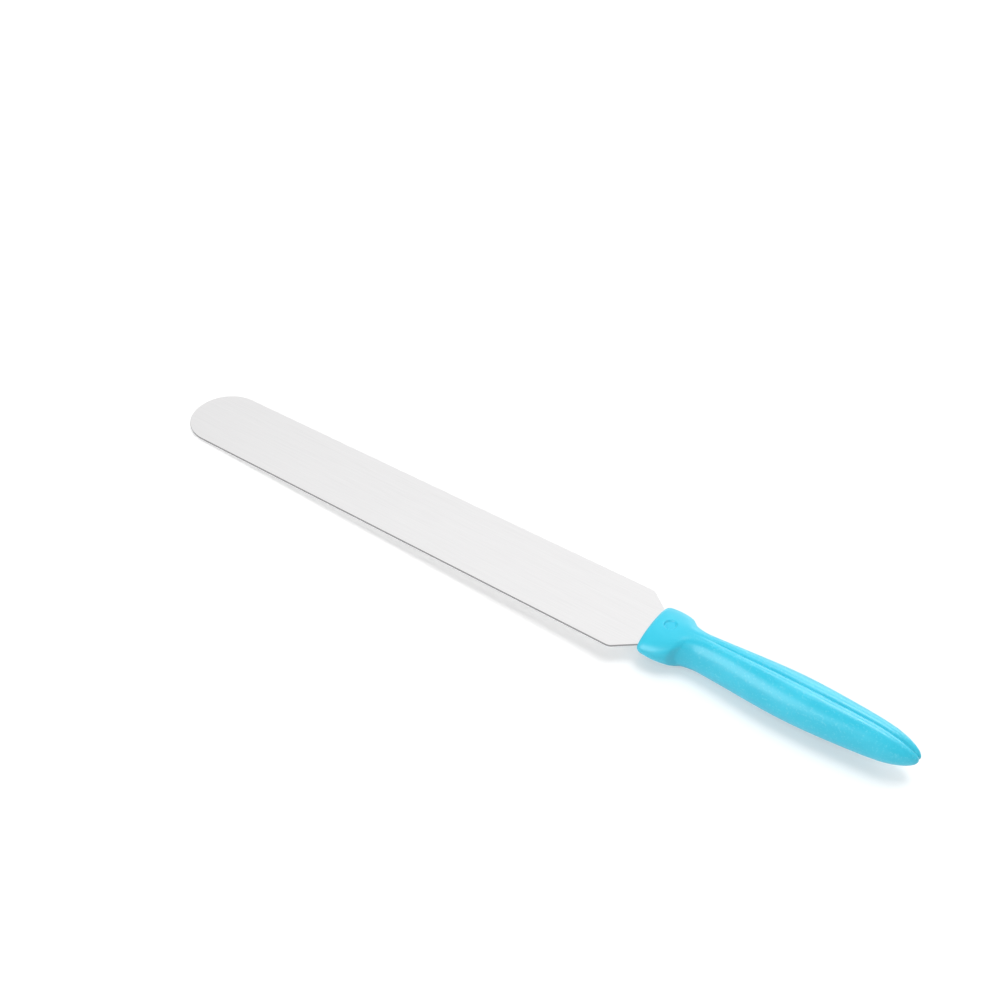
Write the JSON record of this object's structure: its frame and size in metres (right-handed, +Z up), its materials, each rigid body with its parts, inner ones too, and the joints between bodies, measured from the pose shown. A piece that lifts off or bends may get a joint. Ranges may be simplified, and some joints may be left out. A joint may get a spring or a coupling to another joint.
{
  "type": "cake spatula",
  "caption": "Straight cake spatula: long flat stainless blade with a full round tip, fixed in a moulded plastic handle with an oval collar and side finger scoops.",
  "frame": {"origin": "under the middle of the tool's length, on the level of the handle's lowest point", "axes": "+X from the blade's tip to the handle's butt, +Y across the blade, +Z up, square to the blade"},
  "size_m": [0.3814, 0.0384, 0.0207],
  "materials": {
    "stainless": "satin",
    "blue_plastic": "semi-matte moulded"
  },
  "bodies": {
    "root": {"blade": "stainless", "handle": "blue_plastic"}
  },
  "joints": []
}
